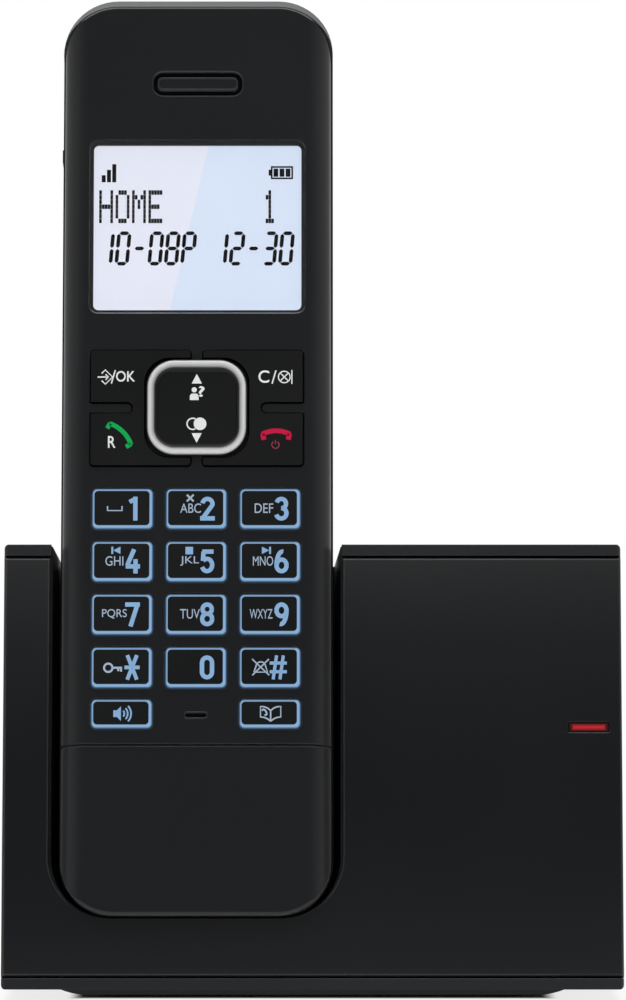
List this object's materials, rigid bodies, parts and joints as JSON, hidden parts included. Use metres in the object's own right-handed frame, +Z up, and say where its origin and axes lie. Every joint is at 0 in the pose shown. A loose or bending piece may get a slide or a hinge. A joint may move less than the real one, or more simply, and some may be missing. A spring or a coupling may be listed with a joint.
{
  "type": "cordless telephone",
  "caption": "Slim cordless handset with display, lit keypad and navigation ring, standing in the slot of a leaning black charging base with a status light.",
  "frame": {"origin": "middle of the base's footprint, at the height of the table", "axes": "+X to the user's right, +Y to the back, +Z up; the front leans back and faces -Y"},
  "size_m": [0.11, 0.064, 0.178],
  "materials": {
    "black_abs_face": "fine satin moulding",
    "black_abs_shell": "matte spark-eroded moulding",
    "function_key_black": "satin moulding",
    "lit_key_blue": "translucent, lit from behind",
    "silver_ring": "satin silver",
    "clear_lens": "clear gloss",
    "display_white": "lit display",
    "grille_black": "satin",
    "speaker_black": "matte",
    "mat_rubber": "matte",
    "board_green": "lacquered laminate",
    "tin_can": "tinned sheet",
    "screw_steel": "zinc plated",
    "contact_nickel": "nickel plated",
    "cell_jacket": "printed sleeve",
    "jack_black": "matte",
    "red_lens": "red, clear"
  },
  "bodies": {
    "base": {"base_housing": "black_abs_shell", "base_front_panel": "black_abs_face", "base_bottom_plate": "black_abs_shell", "cradle_pocket": "black_abs_shell", "base_feet": "mat_rubber", "base_screws": "screw_steel", "base_board": "board_green", "board_screws": "screw_steel", "base_radio_can": "tin_can", "base_aerials": "tin_can", "line_jack": "jack_black", "power_jack": "jack_black", "power_jack_pin": "contact_nickel", "page_switch": "jack_black", "led_lens": "red_lens", "led_board": "board_green", "status_led": "red_lens"},
    "handset": {"handset_rear_cover": "black_abs_shell", "handset_front_cover": "black_abs_face", "handset_chin_cover": "black_abs_face", "display_lens": "clear_lens", "display_panel": "display_white", "display_backlight": "display_white", "earpiece_grille": "grille_black", "earpiece_speaker": "speaker_black", "nav_ring": "silver_ring", "keypad_mat": "mat_rubber", "microphone": "speaker_black", "handset_board": "board_green", "handset_radio_can": "tin_can", "handset_aerial": "tin_can", "loudspeaker": "speaker_black", "handset_screws": "screw_steel", "handset_charge_pads": "contact_nickel", "battery_cell_left": "cell_jacket", "battery_cell_right": "cell_jacket", "battery_contacts": "contact_nickel"},
    "key_1": {"key_1": "lit_key_blue"},
    "key_2": {"key_2": "lit_key_blue"},
    "key_3": {"key_3": "lit_key_blue"},
    "key_4": {"key_4": "lit_key_blue"},
    "key_5": {"key_5": "lit_key_blue"},
    "key_6": {"key_6": "lit_key_blue"},
    "key_7": {"key_7": "lit_key_blue"},
    "key_8": {"key_8": "lit_key_blue"},
    "key_9": {"key_9": "lit_key_blue"},
    "key_star": {"key_star": "lit_key_blue"},
    "key_0": {"key_0": "lit_key_blue"},
    "key_hash": {"key_hash": "lit_key_blue"},
    "key_loudspeaker": {"key_loudspeaker": "lit_key_blue"},
    "key_phone_book": {"key_phone_book": "lit_key_blue"},
    "left_function_key": {"left_function_key": "function_key_black"},
    "right_function_key": {"right_function_key": "function_key_black"},
    "nav_key": {"nav_key": "function_key_black"},
    "battery_door": {"battery_door": "black_abs_shell"},
    "charge_contact_left": {"charge_contact_left": "contact_nickel"},
    "charge_contact_right": {"charge_contact_right": "contact_nickel"},
    "page_key": {"page_key": "black_abs_shell"}
  },
  "joints": [
    {"name": "handset_lift", "type": "slide", "parent": "base", "child": "handset", "axis": [0, 0.2079, 0.9781], "range_m": [0, 0.075]},
    {"name": "key_1_press", "type": "slide", "parent": "handset", "child": "key_1", "axis": [0, 0.9781, -0.2079], "range_m": [0, 0.0005], "stiffness_N_per_m": 1500, "springref_m": -0.0003},
    {"name": "key_2_press", "type": "slide", "parent": "handset", "child": "key_2", "axis": [0, 0.9781, -0.2079], "range_m": [0, 0.0005], "stiffness_N_per_m": 1500, "springref_m": -0.0003},
    {"name": "key_3_press", "type": "slide", "parent": "handset", "child": "key_3", "axis": [0, 0.9781, -0.2079], "range_m": [0, 0.0005], "stiffness_N_per_m": 1500, "springref_m": -0.0003},
    {"name": "key_4_press", "type": "slide", "parent": "handset", "child": "key_4", "axis": [0, 0.9781, -0.2079], "range_m": [0, 0.0005], "stiffness_N_per_m": 1500, "springref_m": -0.0003},
    {"name": "key_5_press", "type": "slide", "parent": "handset", "child": "key_5", "axis": [0, 0.9781, -0.2079], "range_m": [0, 0.0005], "stiffness_N_per_m": 1500, "springref_m": -0.0003},
    {"name": "key_6_press", "type": "slide", "parent": "handset", "child": "key_6", "axis": [0, 0.9781, -0.2079], "range_m": [0, 0.0005], "stiffness_N_per_m": 1500, "springref_m": -0.0003},
    {"name": "key_7_press", "type": "slide", "parent": "handset", "child": "key_7", "axis": [0, 0.9781, -0.2079], "range_m": [0, 0.0005], "stiffness_N_per_m": 1500, "springref_m": -0.0003},
    {"name": "key_8_press", "type": "slide", "parent": "handset", "child": "key_8", "axis": [0, 0.9781, -0.2079], "range_m": [0, 0.0005], "stiffness_N_per_m": 1500, "springref_m": -0.0003},
    {"name": "key_9_press", "type": "slide", "parent": "handset", "child": "key_9", "axis": [0, 0.9781, -0.2079], "range_m": [0, 0.0005], "stiffness_N_per_m": 1500, "springref_m": -0.0003},
    {"name": "key_star_press", "type": "slide", "parent": "handset", "child": "key_star", "axis": [0, 0.9781, -0.2079], "range_m": [0, 0.0005], "stiffness_N_per_m": 1500, "springref_m": -0.0003},
    {"name": "key_0_press", "type": "slide", "parent": "handset", "child": "key_0", "axis": [0, 0.9781, -0.2079], "range_m": [0, 0.0005], "stiffness_N_per_m": 1500, "springref_m": -0.0003},
    {"name": "key_hash_press", "type": "slide", "parent": "handset", "child": "key_hash", "axis": [0, 0.9781, -0.2079], "range_m": [0, 0.0005], "stiffness_N_per_m": 1500, "springref_m": -0.0003},
    {"name": "key_loudspeaker_press", "type": "slide", "parent": "handset", "child": "key_loudspeaker", "axis": [0, 0.9781, -0.2079], "range_m": [0, 0.0005], "stiffness_N_per_m": 1500, "springref_m": -0.0003},
    {"name": "key_phone_book_press", "type": "slide", "parent": "handset", "child": "key_phone_book", "axis": [0, 0.9781, -0.2079], "range_m": [0, 0.0005], "stiffness_N_per_m": 1500, "springref_m": -0.0003},
    {"name": "left_function_key_rock", "type": "hinge", "parent": "handset", "child": "left_function_key", "pos_m": [-0.03075, -0.01083, 0.10398], "axis": [1, 0, 0], "range_deg": [-2, 2], "stiffness_Nm_per_rad": 0.23},
    {"name": "right_function_key_rock", "type": "hinge", "parent": "handset", "child": "right_function_key", "pos_m": [-0.01065, -0.01083, 0.10398], "axis": [1, 0, 0], "range_deg": [-2, 2], "stiffness_Nm_per_rad": 0.23},
    {"name": "nav_key_rock", "type": "hinge", "parent": "handset", "child": "nav_key", "pos_m": [-0.0207, -0.01083, 0.10398], "axis": [1, 0, 0], "range_deg": [-3, 3], "stiffness_Nm_per_rad": 0.15},
    {"name": "battery_door_lift", "type": "slide", "parent": "handset", "child": "battery_door", "axis": [0, 0.9781, -0.2079], "range_m": [0, 0.02]},
    {"name": "charge_contact_left_press", "type": "hinge", "parent": "base", "child": "charge_contact_left", "pos_m": [-0.0262, -0.00964, 0.0086], "axis": [1, 0, 0], "range_deg": [0, 5], "stiffness_Nm_per_rad": 0.05, "springref_deg": -2.86},
    {"name": "charge_contact_right_press", "type": "hinge", "parent": "base", "child": "charge_contact_right", "pos_m": [-0.0152, -0.00964, 0.0086], "axis": [1, 0, 0], "range_deg": [0, 5], "stiffness_Nm_per_rad": 0.05, "springref_deg": -2.86},
    {"name": "page_key_press", "type": "slide", "parent": "base", "child": "page_key", "axis": [-1, 0, 0], "range_m": [0, 0.0005], "stiffness_N_per_m": 1500, "springref_m": -0.0003}
  ]
}
